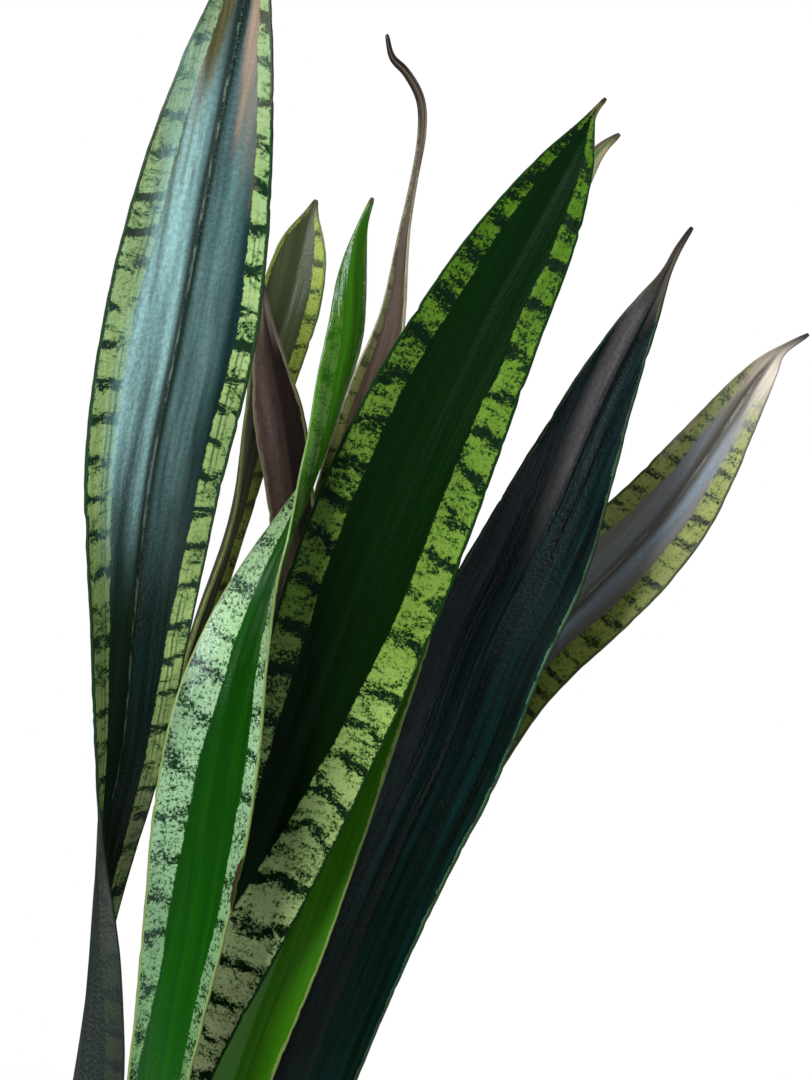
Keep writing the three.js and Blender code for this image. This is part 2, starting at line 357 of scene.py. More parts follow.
# Millimetres, except the strengths and tones.
fineMarks = {
    "soften": 0.25,            # either way, where two markings meet
    "paleLine": (1.0, 1.9),    # into the band: full, gone
    "darkLine": (0.15, 0.6),   # beside its middle: full, gone
    "waxAndSheenFade": (5, 3),         # outside and inside the reach of the wax and its painted sheen
    "grooveShade": (1.3, 3.8), "grooveShadeStrength": 0.92,
    "ribLine": (0.25, 0.65),
    "tipSides": 6.0,           # from the midrib, where the tip is wholly left or right
    "tipPoint": 2.0,           # where it has its darkest tone
    "scarEdge": (0.55, 1.1),
    "tipSideTone": 0.14,       # more of tipStreak on the left, and of tip on the right
}
leafSkin = {
    "smoother": 0.06, "rougher": 0.08, "driedRoughness": 0.75,
    "fibreRelief": 0.6, "bump": {"Strength": 0.6, "Distance": 0.0006},
}
# Shares of the length of the dried tip.
tipShares = {"ragged": 0.5, "lag": 0.75, "starts": 1.1, "full": 0.3, "darkens": 0.35}

# What a leaf has unless its own look says otherwise.
plainLook = {
    "mottle": "#3c6a24",
    "barSpacing": 18,
    "barRise": 0.0,            # how much denser the bars grow towards the tip
    "fleckAmount": 0.6, "innerLine": 0.12, "paleEdge": 0.15,
    "waxAndSheenAmount": (0.0, 0.0),   # left and right of the midrib
    "ribAmount": 0.0,
    "back": "#3c5a44", "backShare": 0.35,
    "tip": "#6b5a44", "tipStreak": "#55503a",
    "tipOnBand": 1.0,          # how far the dried tip covers the bands
    "tipLean": 0,              # how much further down it comes on the left, and less on the right
    "roughness": 0.34, "gloss": 0.2, "relief": 0.5,
    "scar": None,              # on the right margin: from, to and depth
    "scarColour": "#35221a",
}

# Lengths are in millimetres. centre, band, bandLeft and bandRight are low, middle and high on the blade.
# bandShare is the most of a half width that a band takes, low and high. barAmount, left and right, runs from
# 0, few bars, to 1, mostly bars. The wax colour is pale worn wax with painted sheen on it; its window is
# where along the blade it starts, is full, fades and ends, and its reach is how far it goes left and right of
# the midrib.
looks = {
    "leaf_left": {
        "centre": ("#030b05", "#031607", "#0d2c30"), "streak": "#123c3a", "streakShare": 0.35,
        "bandLeft": (8, 12, 12), "bandRight": (8, 9, 7), "bandShare": (0.46, 0.46),
        "band": ("#a9b97e", "#96ac62", "#93ad78"), "bar": "#0e2814", "barAmount": (0.68, 0.7),
        "barSpacing": 14.5, "paleEdge": 0.7, "innerLine": 0.9,
        "margin": "#1d3c1c", "marginWidth": 0.6,
        # pale bluish wax with painted sheen, more on the left half
        "waxAndSheen": "#a3cfc8", "waxAndSheenWindow": (0.55, 0.68, 0.84, 0.97), "waxAndSheenAmount": (0.95, 0.4),
        "waxAndSheenReach": (-19, 14), "rib": "#9fb09a", "ribAmount": 0.3,
        "back": "#0a1a11", "backShare": 0.96,
        "tip": "#95806c", "tipStreak": "#4b4823", "tipEnd": "#5b4434", "tipLength": 118, "tipLean": 28,
        "tipOnBand": 0.2, "mottle": "#4f7a34", "relief": 1.0,
        "roughness": 0.26, "gloss": 0.36,
    },
    "leaf_front": {
        "centre": ("#074600", "#063600", "#14300a"), "streak": "#186004", "streakShare": 0.4,
        "bandLeft": (3, 17, 10), "bandRight": (5, 8, 7), "bandShare": (0.85, 0.6),
        "band": ("#648c50", "#92b288", "#7e9048"), "bar": "#0c280e", "barAmount": (0.62, 0.66),
        "fleckAmount": 2.0, "paleEdge": 0.0, "mottle": "#35662e", "margin": "#7f8e52", "marginWidth": 0.35,
        "back": "#37700a", "backShare": 0.7, "tip": "#7d9a52", "tipEnd": "#5c4a34", "tipLength": 10,
        "scar": (232, 258, 2.6), "roughness": 0.2, "gloss": 0.4,
    },
    "leaf_centre": {
        "centre": ("#041307", "#041900", "#051d04"), "streak": "#083006", "streakShare": 0.35,
        "bandLeft": (12, 14, 11), "bandRight": (28, 16, 13), "bandShare": (1.3, 0.46),
        "band": ("#c3cc96", "#76923c", "#496c0e"), "bar": "#0a1e0c", "barAmount": (0.8, 0.6),
        "barRise": 0.06, "fleckAmount": 1.1, "mottle": "#3a6414", "margin": "#12300c", "marginWidth": 0.7,
        "tipEnd": "#3a2b20", "tipLength": 9, "roughness": 0.38, "gloss": 0.05,
    },
    "leaf_behind_centre": {
        "centre": ("#387800", "#245404", "#3a6a2a"), "streak": "#4a8a08", "streakShare": 0.45,
        "bandLeft": (1, 1, 1), "bandRight": (1, 1.1, 1.4), "bandShare": (0.3, 0.3),
        "band": ("#7e9a40", "#8ea656", "#6f8048"), "bar": "#2f6512", "barAmount": (0.45, 0.45),
        "margin": "#84964a", "marginWidth": 0.3, "paleEdge": 0.0,
        "tip": "#8a7a5c", "tipEnd": "#4a3a2c", "tipLength": 24, "gloss": 0.3,
    },
    "leaf_right": {
        "centre": ("#051206", "#020a06", "#04090a"), "streak": "#0b2e2c", "streakShare": 0.6,
        "bandLeft": (0.6, 0.6, 0.6), "bandRight": (0.9, 1, 0.9), "bandShare": (0.2, 0.2),
        "band": ("#2e4a2c", "#44664a", "#4c5034"), "bar": "#0d1c12", "barAmount": (0.7, 0.7),
        "margin": "#2a3e2a", "marginWidth": 0.35, "innerLine": 0.0, "paleEdge": 0.0,
        # pinkish-grey wax with a painted sheen streak left of the midrib
        "waxAndSheen": "#928884", "waxAndSheenWindow": (0.7, 0.85, 0.92, 0.99), "waxAndSheenAmount": (0.75, 0.0),
        "waxAndSheenReach": (-5, 1), "back": "#0e1a14",
        "tip": "#4e443c", "tipEnd": "#2a211d", "tipLength": 40, "roughness": 0.27, "gloss": 0.13,
    },
    "leaf_far_right": {
        "centre": ("#24241a", "#5c564a", "#82776a"), "streak": "#9a9284", "streakShare": 0.6,
        "bandLeft": (8, 11, 8), "bandRight": (9, 13, 9), "bandShare": (0.6, 0.5),
        "band": ("#50581a", "#7e8a30", "#b0b062"), "bar": "#262c10", "barAmount": (0.6, 0.66),
        "barSpacing": 11, "fleckAmount": 1.1, "margin": "#4e5a2c", "marginWidth": 0.6,
        # bluish-white wax with painted sheen over the middle
        "waxAndSheen": "#a2b6c6", "waxAndSheenWindow": (0.56, 0.7, 0.86, 0.94), "waxAndSheenAmount": (0.45, 0.85),
        "waxAndSheenReach": (-7, 6), "rib": "#b3ad98", "ribAmount": 0.5, "back": "#5c5a44",
        "tip": "#d8cbb8", "tipStreak": "#b0a08c", "tipEnd": "#3a3534", "tipLength": 70, "gloss": 0.25,
    },
    "leaf_back_whip": {
        "centre": ("#322b22", "#4e3e31", "#56483c"), "streak": "#7c6b5b", "streakShare": 0.6,
        "bandLeft": (4, 5, 3), "bandRight": (2, 2, 2), "bandShare": (0.4, 0.4),
        "band": ("#6c703c", "#80864a", "#8c8a60"), "bar": "#4c4630", "barAmount": (0.5, 0.5),
        "barSpacing": 12, "margin": "#c9bfa4", "marginWidth": 0.5, "back": "#6e5a4a",
        "tip": "#302822", "tipStreak": "#3e352b", "tipEnd": "#181009", "tipLength": 130,
    },
    "leaf_back_left": {
        "centre": ("#4b4430", "#30331f", "#3a4028"), "streak": "#4f563a", "streakShare": 0.5,
        "bandLeft": (1.5, 1.5, 1.5), "bandRight": (5, 6.5, 6), "bandShare": (0.5, 0.5),
        "band": ("#6f6e3e", "#7c8838", "#8b9c40"), "bar": "#39401c", "barAmount": (0.5, 0.55),
        "barSpacing": 12, "margin": "#5f6b34", "marginWidth": 0.6, "back": "#504a3a",
        "tip": "#6c6650", "tipEnd": "#403a2c", "tipLength": 16,
    },
    "leaf_back_middle": {
        "centre": ("#1a0e0b", "#140b09", "#1a110d"), "streak": "#2a1b18", "streakShare": 0.6,
        "bandLeft": (1.2, 1.2, 1.2), "bandRight": (1.2, 1.2, 1.2), "bandShare": (0.2, 0.2),
        "band": ("#5a4a34", "#6a6a44", "#6a6a44"), "bar": "#2c1c18", "barAmount": (0.6, 0.6),
        "margin": "#6f6a4c", "marginWidth": 0.5, "innerLine": 0.0, "back": "#2c1e1a",
        # pale brown wax with painted sheen on the left half
        "waxAndSheen": "#7e685e", "waxAndSheenWindow": (0.62, 0.74, 0.94, 1.0), "waxAndSheenAmount": (0.6, 0.0),
        "waxAndSheenReach": (-16, 0),
        "tip": "#5a4a42", "tipEnd": "#2c201c", "tipLength": 26,
    },
}


# Snake plant leaf: tough and waxy, so it is dark and evenly glossy, with a soft reflection that the ribs
# draw out lengthwise. The markings are in the skin, and worn wax with painted sheen lies in pale streaks.
def waxedLeaf(name, length, seed, look):
    material, tree = newMaterial("waxed_" + name)
    lengthMm, tipLength, soften = length * 1000, look["tipLength"], fineMarks["soften"]
    stored = addNode(tree, "Attribute", attribute_name="blade")
    inner = addNode(tree, "Attribute", attribute_name="inner").outputs["Fac"]
    inMm = addNode(tree, "VectorMath", {0: stored.outputs["Vector"], "Scale": 1000.0}, operation="SCALE")
    split = addNode(tree, "SeparateXYZ", {0: inMm})
    across, along, halfWidth = split.outputs
    fromMiddle = addNode(tree, "Math", {0: across}, operation="ABSOLUTE")
    fromMargin = addNode(tree, "Math", {0: halfWidth, 1: fromMiddle}, operation="SUBTRACT")
    share = addNode(tree, "Math", {0: along, 1: lengthMm}, operation="DIVIDE")
    flat = addNode(tree, "CombineXYZ", {"X": across, "Y": along, "Z": 0.0})

    grain = {}
    for index, (key, (wide, tall, detail, rough, warp)) in enumerate(bladeGrain.items()):
        sized = addNode(tree, "VectorMath", {0: flat, 1: (1 / wide, 1 / tall, 0)}, operation="MULTIPLY")
        start = (seed * noiseSteps[0], seed * noiseSteps[1], index * noiseSteps[2])
        moved = addNode(tree, "VectorMath", {0: sized, 1: start}, operation="ADD")
        grain[key] = addNode(tree, "TexNoise", {"Vector": moved, "Scale": 1.0, "Detail": detail,
                                                "Roughness": rough, "Distortion": warp})

    # Where the pale bands are: three widths up the blade from each margin, drifting and finely toothed.
    drift = addNode(tree, "MapRange", {"Value": grain["wander"], **noiseRange, 3: -1.0, 4: 1.0})
    intoBand = []
    for widths, towards in ((look["bandLeft"], 1.0), (look["bandRight"], -1.0)):
        lower = addNode(tree, "MapRange", {"Value": share, 1: widthStages[0], 2: widthStages[1],
                                           3: widths[0], 4: widths[1]})
        width = addNode(tree, "MapRange", {"Value": share, 1: widthStages[1], 2: widthStages[2],
                                           3: 0.0, 4: widths[2] - widths[1]})
        width = addNode(tree, "Math", {0: lower, 1: width}, operation="ADD")
        most = addNode(tree, "MapRange", {"Value": share, 1: capStages[0], 2: capStages[1],
                                          3: look["bandShare"][0], 4: look["bandShare"][1]})
        tapered = addNode(tree, "Math", {0: halfWidth, 1: most}, operation="MULTIPLY")
        width = addNode(tree, "Math", {0: width, 1: tapered}, operation="MINIMUM")
        width = addNode(tree, "Math", {0: width, 1: drift}, operation="ADD")
        depth = addNode(tree, "Math", {0: across, 1: towards, 2: halfWidth}, operation="MULTIPLY_ADD")
        intoBand.append(addNode(tree, "Math", {0: width, 1: depth}, operation="SUBTRACT"))
    rightSide = addNode(tree, "Math", {0: intoBand[1], 1: intoBand[0]}, operation="GREATER_THAN")
    fromEdge = addNode(tree, "Math", {0: intoBand[0], 1: intoBand[1]}, operation="MAXIMUM")
    teeth = addNode(tree, "MapRange", {"Value": grain["jag"], **noiseRange,
                                       3: -barPattern["toothDepth"], 4: barPattern["toothDepth"]})
    pastEdge = addNode(tree, "Math", {0: fromEdge, 1: teeth}, operation="ADD")
    inBand = addNode(tree, "MapRange", {"Value": pastEdge, 1: -soften, 2: soften},
                     interpolation_type="SMOOTHSTEP")

    # Centre: three tones up the blade, streaks, and rare pale flecks.
    centre = addNode(tree, "ValToRGB", {"Fac": share})
    band = addNode(tree, "ValToRGB", {"Fac": share})
    for ramp, tones in ((centre, look["centre"]), (band, look["band"])):
        ramp.color_ramp.elements[0].position = toneStages[0]
        ramp.color_ramp.elements[1].position = toneStages[2]
        ramp.color_ramp.elements.new(toneStages[1])
        for element, tone in zip(ramp.color_ramp.elements, tones):
            element.color = linearColour(tone)
    streaked = addNode(tree, "MapRange", {"Value": grain["streaks"], **noiseCuts["streaks"],
                                          3: 0.0, 4: look["streakShare"]})
    centre = addNode(tree, "Mix", {"Factor": streaked, "A": centre, "B": linearColour(look["streak"])},
                     data_type="RGBA")
    specks = addNode(tree, "MapRange", {"Value": grain["flecks"], **noiseCuts["specks"]})
    centre = addNode(tree, "Mix", {"Factor": specks, "A": centre, "B": band}, data_type="RGBA")

    # Band: dark cross-bars, ragged blots and granular flecks over the pale green.
    warped = addNode(tree, "Math", {0: grain["clouds"], 1: barPattern["cloudWarp"]}, operation="MULTIPLY")
    for value, key in ((grain["blots"], "blotWarp"), (rightSide, "rightShift")):
        warped = addNode(tree, "Math", {0: value, 1: barPattern[key], 2: warped}, operation="MULTIPLY_ADD")
    turns = addNode(tree, "Math", {0: along, 1: 2 * math.pi / look["barSpacing"], 2: warped},
                    operation="MULTIPLY_ADD")
    beat = addNode(tree, "Math", {0: turns}, operation="SINE")
    peak = addNode(tree, "MapRange", {"Value": beat, 1: 0.3, 2: 1.0, 3: 0.0, 4: barPattern["peak"]},
                   interpolation_type="SMOOTHSTEP")
    leftLevel, rightLevel = (barPattern["amountGain"] * (amount - 0.5) for amount in look["barAmount"])
    moreBars = addNode(tree, "Mix", {"Factor": rightSide, "A": leftLevel, "B": rightLevel})
    rise = addNode(tree, "Math", {0: share, 1: look["barRise"]}, operation="MULTIPLY")
    blots, flecks = barPattern["blotShare"], barPattern["fleckShare"] * look["fleckAmount"]
    blotted = addNode(tree, "MapRange", {"Value": grain["blots"], **noiseRange, 3: -blots, 4: blots})
    fleckPart = addNode(tree, "MapRange", {"Value": grain["flecks"], **noiseRange, 3: -flecks, 4: flecks})
    bars = grain["bars"]
    for part in (peak, moreBars, rise, blotted, fleckPart):
        bars = addNode(tree, "Math", {0: bars, 1: part}, operation="ADD")
    barred = addNode(tree, "MapRange", {"Value": bars, 1: barPattern["darkFrom"], 2: barPattern["darkTo"]})
    paleTone = addNode(tree, "MapRange", {"Value": grain["clouds"], **noiseCuts["paleTone"]})
    band = addNode(tree, "VectorMath", {0: band, "Scale": paleTone}, operation="SCALE")
    # Under the bars the pale green is granular, and it darkens towards them.
    granules = addNode(tree, "MapRange", {"Value": grain["flecks"], **noiseCuts["granules"],
                                          3: 0.0, 4: barPattern["granuleShare"] * look["fleckAmount"]})
    nearBars = addNode(tree, "MapRange", {"Value": bars, 1: barPattern["nearFrom"], 2: barPattern["nearTo"],
                                          3: 0.0, 4: barPattern["nearShare"]})
    mottled = addNode(tree, "Math", {0: granules, 1: nearBars}, operation="MAXIMUM")
    # A pale line edges the band on its inside, under the bars.
    full, gone = fineMarks["paleLine"]
    rim = addNode(tree, "MapRange", {"Value": fromEdge, 1: full, 2: gone, 3: look["paleEdge"], 4: 0.0})
    onBand = [(mottled, look["mottle"]), (rim, look["band"][1]), (barred, look["bar"])]

    # Thin dark lines run along the band.
    full, gone = fineMarks["darkLine"]
    for distance, strength in barPattern["innerLines"]:
        toLine = addNode(tree, "Math", {0: fromEdge, 1: distance}, operation="SUBTRACT")
        toLine = addNode(tree, "Math", {0: toLine}, operation="ABSOLUTE")
        thin = addNode(tree, "MapRange", {"Value": toLine, 1: full, 2: gone,
                                          3: strength * look["innerLine"], 4: 0.0})
        broken = addNode(tree, "MapRange", {"Value": grain["wander"], **noiseCuts["brokenLine"]})
        thin = addNode(tree, "Math", {0: thin, 1: broken}, operation="MULTIPLY")
        onBand.append((thin, look["bar"]))
    for where, tone in onBand:
        band = addNode(tree, "Mix", {"Factor": where, "A": band, "B": linearColour(tone)}, data_type="RGBA")

    # What lies on the centre, lowest first: where it is, and its colour.
    layers = [(inBand, band)]

    # Margin line, with teeth.
    marginEdge = addNode(tree, "MapRange", {"Value": grain["jag"], **noiseCuts["marginTeeth"],
                                            4: 2 * look["marginWidth"]})
    marginPast = addNode(tree, "Math", {0: marginEdge, 1: fromMargin}, operation="SUBTRACT")
    onMargin = addNode(tree, "MapRange", {"Value": marginPast, 1: -soften, 2: soften})
    layers.append((onMargin, linearColour(look["margin"])))

    # Healed damage: a brown patch along the right margin, in colour only.
    if look["scar"]:
        scarFrom, scarTo, scarDepth = look["scar"]
        middle, reach = (scarFrom + scarTo) / 2, (scarTo - scarFrom) / 2
        toScar = addNode(tree, "Math", {0: along, 1: middle}, operation="SUBTRACT")
        toScar = addNode(tree, "Math", {0: toScar}, operation="ABSOLUTE")
        toScar = addNode(tree, "MapRange", {"Value": toScar, 1: reach / 2, 2: reach, 3: scarDepth, 4: 0.0})
        fromRight = addNode(tree, "Math", {0: halfWidth, 1: across}, operation="SUBTRACT")
        scarPast = addNode(tree, "Math", {0: toScar, 1: fromRight}, operation="SUBTRACT")
        scarPast = addNode(tree, "Math", {0: scarPast, 1: teeth}, operation="ADD")
        clear, full = fineMarks["scarEdge"]
        scarred = addNode(tree, "MapRange", {"Value": scarPast, 1: clear, 2: full})
        layers.append((scarred, linearColour(look["scarColour"])))

    # Worn wax with painted sheen, in a window along and across the inner face.
    if max(look["waxAndSheenAmount"]) > 0:
        starts, full, fades, ends = look["waxAndSheenWindow"]
        left, right = look["waxAndSheenReach"]
        beyond, within = fineMarks["waxAndSheenFade"]
        leftWaxAndSheen, rightWaxAndSheen = look["waxAndSheenAmount"]
        rightHalf = addNode(tree, "MapRange", {"Value": across, 1: -1.0, 2: 1.0})
        waxAndSheen = addNode(tree, "Mix", {"Factor": rightHalf, "A": leftWaxAndSheen, "B": rightWaxAndSheen})
        worn = addNode(tree, "MapRange", {"Value": grain["bloomAndSheen"], **noiseCuts["wornWaxAndSheen"]})
        wrinkled = addNode(tree, "MapRange", {"Value": grain["pores"], **noiseCuts["wrinkles"]})
        parts = [worn, wrinkled]
        for value, low, high in ((share, starts, full), (share, ends, fades),
                                 (across, left - beyond, left + within),
                                 (across, right + beyond, right - within)):
            parts.append(addNode(tree, "MapRange", {"Value": value, 1: low, 2: high},
                                 interpolation_type="SMOOTHSTEP"))
        for part in (*parts, inner):
            waxAndSheen = addNode(tree, "Math", {0: waxAndSheen, 1: part}, operation="MULTIPLY")
        layers.append((waxAndSheen, linearColour(look["waxAndSheen"])))

    # Painted shade in the groove, with a pale broken line down its middle.
    if look["ribAmount"] > 0:
        full, gone = fineMarks["grooveShade"]
        shade = addNode(tree, "MapRange", {"Value": fromMiddle, 1: full, 2: gone,
                                           3: fineMarks["grooveShadeStrength"], 4: 0.0})
        layers.append((shade, linearColour(look["centre"][1])))
        full, gone = fineMarks["ribLine"]
        line = addNode(tree, "MapRange", {"Value": fromMiddle, 1: full, 2: gone, 3: look["ribAmount"],
                                          4: 0.0})
        dashed = addNode(tree, "MapRange", {"Value": grain["dashes"], **noiseCuts["dashes"]})
        line = addNode(tree, "Math", {0: line, 1: dashed}, operation="MULTIPLY")
        layers.append((line, linearColour(look["rib"])))

    # The outer face is covered, by backShare, with its own streaky colour.
    outer = addNode(tree, "Math", {0: 1.0, 1: inner}, operation="SUBTRACT")
    outer = addNode(tree, "Math", {0: outer, 1: look["backShare"]}, operation="MULTIPLY")
    backTone = addNode(tree, "MapRange", {"Value": grain["streaks"], **noiseCuts["backTone"]})
    back = addNode(tree, "VectorMath", {0: linearColour(look["back"])[:3], "Scale": backTone},
                   operation="SCALE")
    layers.append((outer, back))

    # Dried tip: it starts in streaks, and ends dark.
    fromTip = addNode(tree, "Math", {0: lengthMm, 1: along}, operation="SUBTRACT")
    raggedness = tipShares["ragged"] * tipLength
    ragged = addNode(tree, "MapRange", {"Value": grain["bloomAndSheen"], **noiseRange,
                                        3: -raggedness, 4: raggedness})
    atMargin = addNode(tree, "Math", {0: fromMiddle, 1: halfWidth}, operation="DIVIDE")
    lag = addNode(tree, "MapRange", {"Value": atMargin, 1: 0.05, 2: 0.38,
                                     3: tipShares["lag"] * tipLength, 4: 0.0})
    sides = fineMarks["tipSides"]
    lean = addNode(tree, "MapRange", {"Value": across, 1: -sides, 2: sides,
                                      3: -look["tipLean"], 4: look["tipLean"]})
    driedPart = fromTip
    for part in (ragged, lag, lean):
        driedPart = addNode(tree, "Math", {0: driedPart, 1: part}, operation="ADD")
    dried = addNode(tree, "MapRange", {"Value": driedPart, 1: tipShares["starts"] * tipLength,
                                       2: tipShares["full"] * tipLength}, interpolation_type="SMOOTHSTEP")
    spared = addNode(tree, "MapRange", {"Value": inBand, 1: 0.0, 2: 1.0, 3: 1.0, 4: look["tipOnBand"]})
    dried = addNode(tree, "Math", {0: dried, 1: spared}, operation="MULTIPLY")
    ended = addNode(tree, "MapRange", {"Value": fromTip, 1: tipShares["darkens"] * tipLength,
                                       2: fineMarks["tipPoint"]})
    sideTone = fineMarks["tipSideTone"]
    oneSided = addNode(tree, "MapRange", {"Value": across, 1: -sides, 2: sides, 3: sideTone, 4: -sideTone})
    faded = addNode(tree, "Math", {0: grain["streaks"], 1: oneSided}, operation="ADD")
    faded = addNode(tree, "MapRange", {"Value": faded, **noiseCuts["tipStreaks"]})
    tip = addNode(tree, "Mix", {"Factor": faded, "A": linearColour(look["tip"]),
                                "B": linearColour(look["tipStreak"])}, data_type="RGBA")
    tip = addNode(tree, "Mix", {"Factor": ended, "A": tip, "B": linearColour(look["tipEnd"])},
                  data_type="RGBA")
    layers.append((dried, tip))

    skin = centre
    for where, colour in layers:
        skin = addNode(tree, "Mix", {"Factor": where, "A": skin, "B": colour}, data_type="RGBA")

    roughness = addNode(tree, "MapRange", {"Value": grain["clouds"], **noiseRange,
                                           3: look["roughness"] - leafSkin["smoother"],
                                           4: look["roughness"] + leafSkin["rougher"]})
    roughness = addNode(tree, "Mix", {"Factor": dried, "A": roughness, "B": leafSkin["driedRoughness"]})
    fibres = addNode(tree, "Math", {0: grain["fibres"], 1: leafSkin["fibreRelief"]}, operation="MULTIPLY")
    relief = addNode(tree, "Math", {0: grain["pores"], 1: look["relief"], 2: fibres},
                     operation="MULTIPLY_ADD")
    bump = addNode(tree, "Bump", {"Height": relief, **leafSkin["bump"]})
    shader = addNode(tree, "BsdfPrincipled", {"Base Color": skin, "Roughness": roughness, "IOR": 1.45,
                                              "Normal": bump, "Specular IOR Level": look["gloss"]})
    addNode(tree, "OutputMaterial", {"Surface": shader})
    return material


for number, (nodeName, ownLook) in enumerate(looks.items(), 1):
    blade, bladeLength = leafBlade(nodeName + "_blade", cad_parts[nodeName],
                                   bladeShape["seedFrom"] + number)
    blade.data.materials.append(waxedLeaf(nodeName, bladeLength, number, {**plainLook, **ownLook}))
    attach(blade, "root")
    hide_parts(nodeName)
    print("leaf:", nodeName, round(bladeLength * 1000), "mm,", len(blade.data.polygons), "faces")


clayPot = {
    "sides": 160,
    "edgeRound": 0.0014,
    "throwingRise": 0.0035,    # height of one turn of the throwing lines
    "throwingDepth": 0.00012,
    "ringsPerLine": 4,
    "shortRise": 0.02,         # a stretch that climbs less than this gets no extra rings
    "linesOutside": 0.55,      # of the rim's inner radius
    "drainHoles": 3, "drillSides": 40,
    "edgeSteps": 3, "edgeAngle": 40, "smoothAngle": 50,    # degrees
    "closeTo": 1e-4,
    # Patterns to the metre: patches of 45 mm, and grit of 1.1 mm, which is drawn coarse enough to show.
    "patchesPerMetre": 22.0, "gritPerMetre": 900.0,
    "clay": ("#9c4f2c", "#c47a50"), "grit": "#7e4327", "salts": "#d9c4b0",
    "gritCut": {1: 0.55, 2: 0.7, 3: 0.0, 4: 0.35},
    "saltsLow": {1: 0.05, 2: 0.0, 3: 0.0, 4: 0.2},      # more salts towards the foot
    "saltsCut": {1: 0.56, 2: 0.74, 3: 0.0, 4: 0.55},
    "bump": {"Strength": 0.3, "Distance": 0.0004},
    "finish": {"Roughness": 0.88, "IOR": 1.5, "Specular IOR Level": 0.35},
}


# A surface of revolution from (radius, height) points, by spinning an edge chain round Z.
def spun(name, outline, steps):
    chain = [(i, i + 1) for i in range(len(outline) - 1)]
    piece = objectFrom(name, [(r, 0, z) for r, z in outline], [], chain)
    selectOnly(piece)
    bpy.ops.object.mode_set(mode="EDIT")
    bpy.ops.mesh.select_all(action="SELECT")
    bpy.ops.mesh.spin(steps=steps, angle=2 * math.pi, center=(0, 0, 0), axis=(0, 0, 1))
    bpy.ops.mesh.select_all(action="SELECT")
    bpy.ops.mesh.remove_doubles(threshold=1e-5)
    bpy.ops.mesh.normals_make_consistent(inside=False)
    bpy.ops.object.mode_set(mode="OBJECT")
    return piece


# The pot's own outline and its drain holes, read from the CAD node.
def potOutline(node):
    profile = sorted({(round(math.hypot(v.co.x, v.co.y), 4), round(v.co.z, 4)) for v in node.data.vertices})
    rim = max(r for r, z in profile)
    walls = [(r, z) for r, z in profile if r > rim / 2]
    floorHeight = min(z for r, z in profile if r < rim / 2 and z > 0.001)
    inside = [(r, z) for r, z in walls if z >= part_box(node.name)[1][2] - clayPot["closeTo"]]
    innerRim = min(inside)
    cavityFoot = min((r, z) for r, z in walls if abs(z - floorHeight) < 2 * clayPot["closeTo"])
    outside = sorted((p for p in walls if p not in (innerRim, cavityFoot)), key=lambda p: (p[1], p[0]))
    holes = [v.co for v in node.data.vertices
             if math.hypot(v.co.x, v.co.y) < rim / 2 and v.co.z < clayPot["closeTo"]]
    return outside, innerRim, cavityFoot, holes


def sloped(start, end, count):
    return [(start[0] + (end[0] - start[0]) * i / count, start[1] + (end[1] - start[1]) * i / count)
            for i in range(1, count + 1)]


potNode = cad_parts["pot"]
outside, innerRim, cavityFoot, holePoints = potOutline(potNode)
outline = [(0, 0)]
for corner in [*outside, innerRim, cavityFoot, (0, cavityFoot[1])]:
    run = math.dist(outline[-1], corner)
    flatRun = abs(outline[-1][1] - corner[1]) < clayPot["shortRise"]
    rings = 1 if flatRun else round(run / (clayPot["throwingRise"] / clayPot["ringsPerLine"]))
    outline += sloped(outline[-1], corner, rings)
pot = spun("pot_turned", outline, clayPot["sides"])
for vert in pot.data.vertices:
    turnAngle = math.atan2(vert.co.y, vert.co.x)
    radius = math.hypot(vert.co.x, vert.co.y)
    if radius > innerRim[0] * clayPot["linesOutside"]:
        phase = vert.co.z / clayPot["throwingRise"] + turnAngle / (2 * math.pi)
        dent = clayPot["throwingDepth"] * (math.sin(2 * math.pi * phase) - 1)
        vert.co.x += dent * math.cos(turnAngle)
        vert.co.y += dent * math.sin(turnAngle)
holeGroups = {}
for point in holePoints:
    part = int((math.atan2(point.y, point.x) % (2 * math.pi)) / (2 * math.pi / clayPot["drainHoles"]))
    holeGroups.setdefault(part, []).append(point)
for part in sorted(holeGroups):
    group = holeGroups[part]
    middle = sum(group, Vector()) / len(group)
    holeRadius = max((p - middle).length for p in group)
    bpy.ops.object.select_all(action="DESELECT")
    bpy.ops.mesh.primitive_cylinder_add(vertices=clayPot["drillSides"], radius=holeRadius,
                                        depth=3 * cavityFoot[1],
                                        location=(middle.x, middle.y, cavityFoot[1] / 2))
    drill = bpy.context.object
    applyModifier(pot, "BOOLEAN", operation="DIFFERENCE", solver="EXACT", object=drill)
    bpy.data.objects.remove(drill)
applyModifier(pot, "BEVEL", width=clayPot["edgeRound"], segments=clayPot["edgeSteps"],
              limit_method="ANGLE", angle_limit=math.radians(clayPot["edgeAngle"]))
selectOnly(pot)
bpy.ops.object.shade_smooth_by_angle(angle=math.radians(clayPot["smoothAngle"]))


